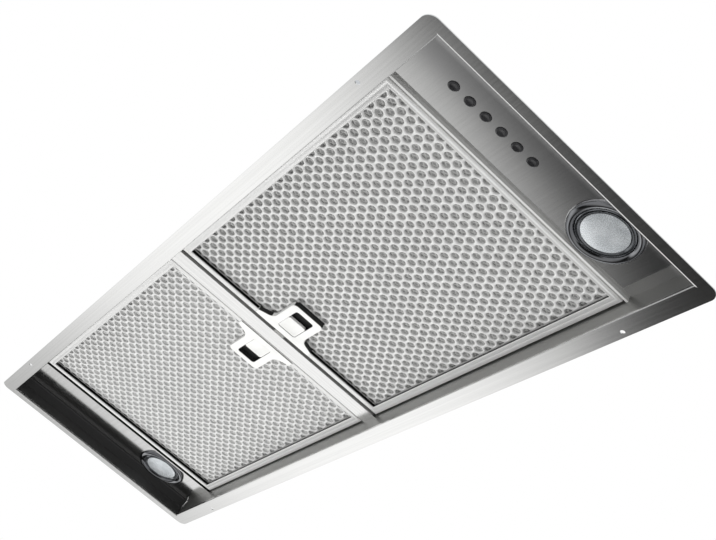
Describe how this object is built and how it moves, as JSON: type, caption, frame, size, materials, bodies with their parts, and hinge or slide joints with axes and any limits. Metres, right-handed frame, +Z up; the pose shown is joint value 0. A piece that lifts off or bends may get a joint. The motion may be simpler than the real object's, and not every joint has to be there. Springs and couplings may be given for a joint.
{
  "type": "range hood insert",
  "caption": "Built-in range hood insert: stainless flange with recessed grease filters, lamps and push buttons under a casing with a blower and a round duct collar.",
  "frame": {"origin": "middle of the flange's underside, where it meets the cabinet's bottom edge line", "axes": "+X along the flange towards the push buttons, +Z up towards the duct collar, +Y completes the right-handed set, towards the lamps' side"},
  "size_m": [0.86, 0.285, 0.262],
  "materials": {
    "brushed_stainless": "satin brushed stainless steel",
    "galvanised_steel": "dull zinc-coated sheet steel",
    "satin_aluminium": "satin aluminium",
    "filter_aluminium": "layered expanded aluminium, seen grey through the front sheet",
    "light_grey_plastic": "satin light grey plastic",
    "black_plastic": "matt black plastic",
    "grey_plastic": "moulded grey plastic",
    "button_black": "semi-gloss black plastic",
    "chrome_trim": "polished chrome",
    "dark_ring": "dark glossy inner ring",
    "frosted_lens": "frosted glass, faint blue",
    "bulb_glass": "frosted bulb",
    "circuit_laminate": "green board laminate",
    "dark_steel": "dark painted steel",
    "plated_steel": "zinc-plated steel"
  },
  "bodies": {
    "casing": {"mounting_flange": "brushed_stainless", "control_panel": "brushed_stainless", "lamp_panel": "brushed_stainless", "crossbar": "brushed_stainless", "switch_block": "black_plastic", "circuit_board": "circuit_laminate", "plenum_front": "galvanised_steel", "plenum_back": "galvanised_steel", "plenum_left_end": "galvanised_steel", "plenum_right_end": "galvanised_steel", "plenum_cover": "galvanised_steel", "tower_front": "galvanised_steel", "tower_back": "galvanised_steel", "tower_left_end": "galvanised_steel", "tower_right_end": "galvanised_steel", "tower_roof": "galvanised_steel", "blower_scroll": "grey_plastic", "motor": "dark_steel", "motor_bracket": "galvanised_steel", "duct_collar": "black_plastic", "damper_pin": "plated_steel", "terminal_box": "grey_plastic", "terminal_lid": "grey_plastic", "cable_gland": "black_plastic", "casing_screws": "plated_steel", "collar_screws": "plated_steel", "lamp_left_bezel": "chrome_trim", "lamp_left_gasket": "dark_ring", "lamp_left_lens": "frosted_lens", "lamp_left_housing": "galvanised_steel", "lamp_left_bulb": "bulb_glass", "lamp_right_bezel": "chrome_trim", "lamp_right_gasket": "dark_ring", "lamp_right_lens": "frosted_lens", "lamp_right_housing": "galvanised_steel", "lamp_right_bulb": "bulb_glass"},
    "filter_right": {"filter_right_frame": "satin_aluminium", "filter_right_front_mesh": "satin_aluminium", "filter_right_core": "filter_aluminium", "filter_right_pivot_tabs": "satin_aluminium", "filter_right_latch_plate": "light_grey_plastic"},
    "filter_left": {"filter_left_frame": "satin_aluminium", "filter_left_front_mesh": "satin_aluminium", "filter_left_core": "filter_aluminium", "filter_left_pivot_tabs": "satin_aluminium", "filter_left_latch_plate": "light_grey_plastic"},
    "latch_right": {"filter_right_latch_slider": "light_grey_plastic"},
    "latch_left": {"filter_left_latch_slider": "light_grey_plastic"},
    "impeller": {"impeller": "grey_plastic", "motor_shaft": "plated_steel"},
    "flap_left": {"damper_flap_left": "black_plastic"},
    "flap_right": {"damper_flap_right": "black_plastic"},
    "button_stop": {"button_stop": "button_black"},
    "button_speed_one": {"button_speed_one": "button_black"},
    "button_speed_two": {"button_speed_two": "button_black"},
    "button_speed_three": {"button_speed_three": "button_black"},
    "button_boost": {"button_boost": "button_black"},
    "button_light": {"button_light": "button_black"}
  },
  "joints": [
    {"name": "filter_right_drop", "type": "hinge", "parent": "casing", "child": "filter_right", "pos_m": [0.3455, 0, 0.0195], "axis": [0, -1, 0], "range_deg": [0, 80]},
    {"name": "filter_left_drop", "type": "hinge", "parent": "casing", "child": "filter_left", "pos_m": [-0.3455, 0, 0.0195], "axis": [0, 1, 0], "range_deg": [0, 80]},
    {"name": "latch_right_slide", "type": "slide", "parent": "filter_right", "child": "latch_right", "axis": [1, 0, 0], "range_m": [0, 0.006], "stiffness_N_per_m": 300, "springref_m": -0.002},
    {"name": "latch_left_slide", "type": "slide", "parent": "filter_left", "child": "latch_left", "axis": [-1, 0, 0], "range_m": [0, 0.006], "stiffness_N_per_m": 300, "springref_m": -0.002},
    {"name": "impeller_spin", "type": "hinge", "parent": "casing", "child": "impeller", "pos_m": [0, -0.034, 0.14], "axis": [1, 0, 0], "continuous": true},
    {"name": "flap_left_swing", "type": "hinge", "parent": "casing", "child": "flap_left", "pos_m": [0, 0, 0.234], "axis": [0, 1, 0], "range_deg": [0, 75]},
    {"name": "flap_right_swing", "type": "hinge", "parent": "casing", "child": "flap_right", "pos_m": [0, 0, 0.234], "axis": [0, -1, 0], "range_deg": [0, 75]},
    {"name": "button_stop_press", "type": "slide", "parent": "casing", "child": "button_stop", "axis": [0, 0, 1], "range_m": [0, 0.002], "stiffness_N_per_m": 400, "springref_m": -0.0005},
    {"name": "button_speed_one_press", "type": "slide", "parent": "casing", "child": "button_speed_one", "axis": [0, 0, 1], "range_m": [0, 0.002], "stiffness_N_per_m": 400, "springref_m": -0.0005},
    {"name": "button_speed_two_press", "type": "slide", "parent": "casing", "child": "button_speed_two", "axis": [0, 0, 1], "range_m": [0, 0.002], "stiffness_N_per_m": 400, "springref_m": -0.0005},
    {"name": "button_speed_three_press", "type": "slide", "parent": "casing", "child": "button_speed_three", "axis": [0, 0, 1], "range_m": [0, 0.002], "stiffness_N_per_m": 400, "springref_m": -0.0005},
    {"name": "button_boost_press", "type": "slide", "parent": "casing", "child": "button_boost", "axis": [0, 0, 1], "range_m": [0, 0.002], "stiffness_N_per_m": 400, "springref_m": -0.0005},
    {"name": "button_light_press", "type": "slide", "parent": "casing", "child": "button_light", "axis": [0, 0, 1], "range_m": [0, 0.002], "stiffness_N_per_m": 400, "springref_m": -0.0005}
  ]
}
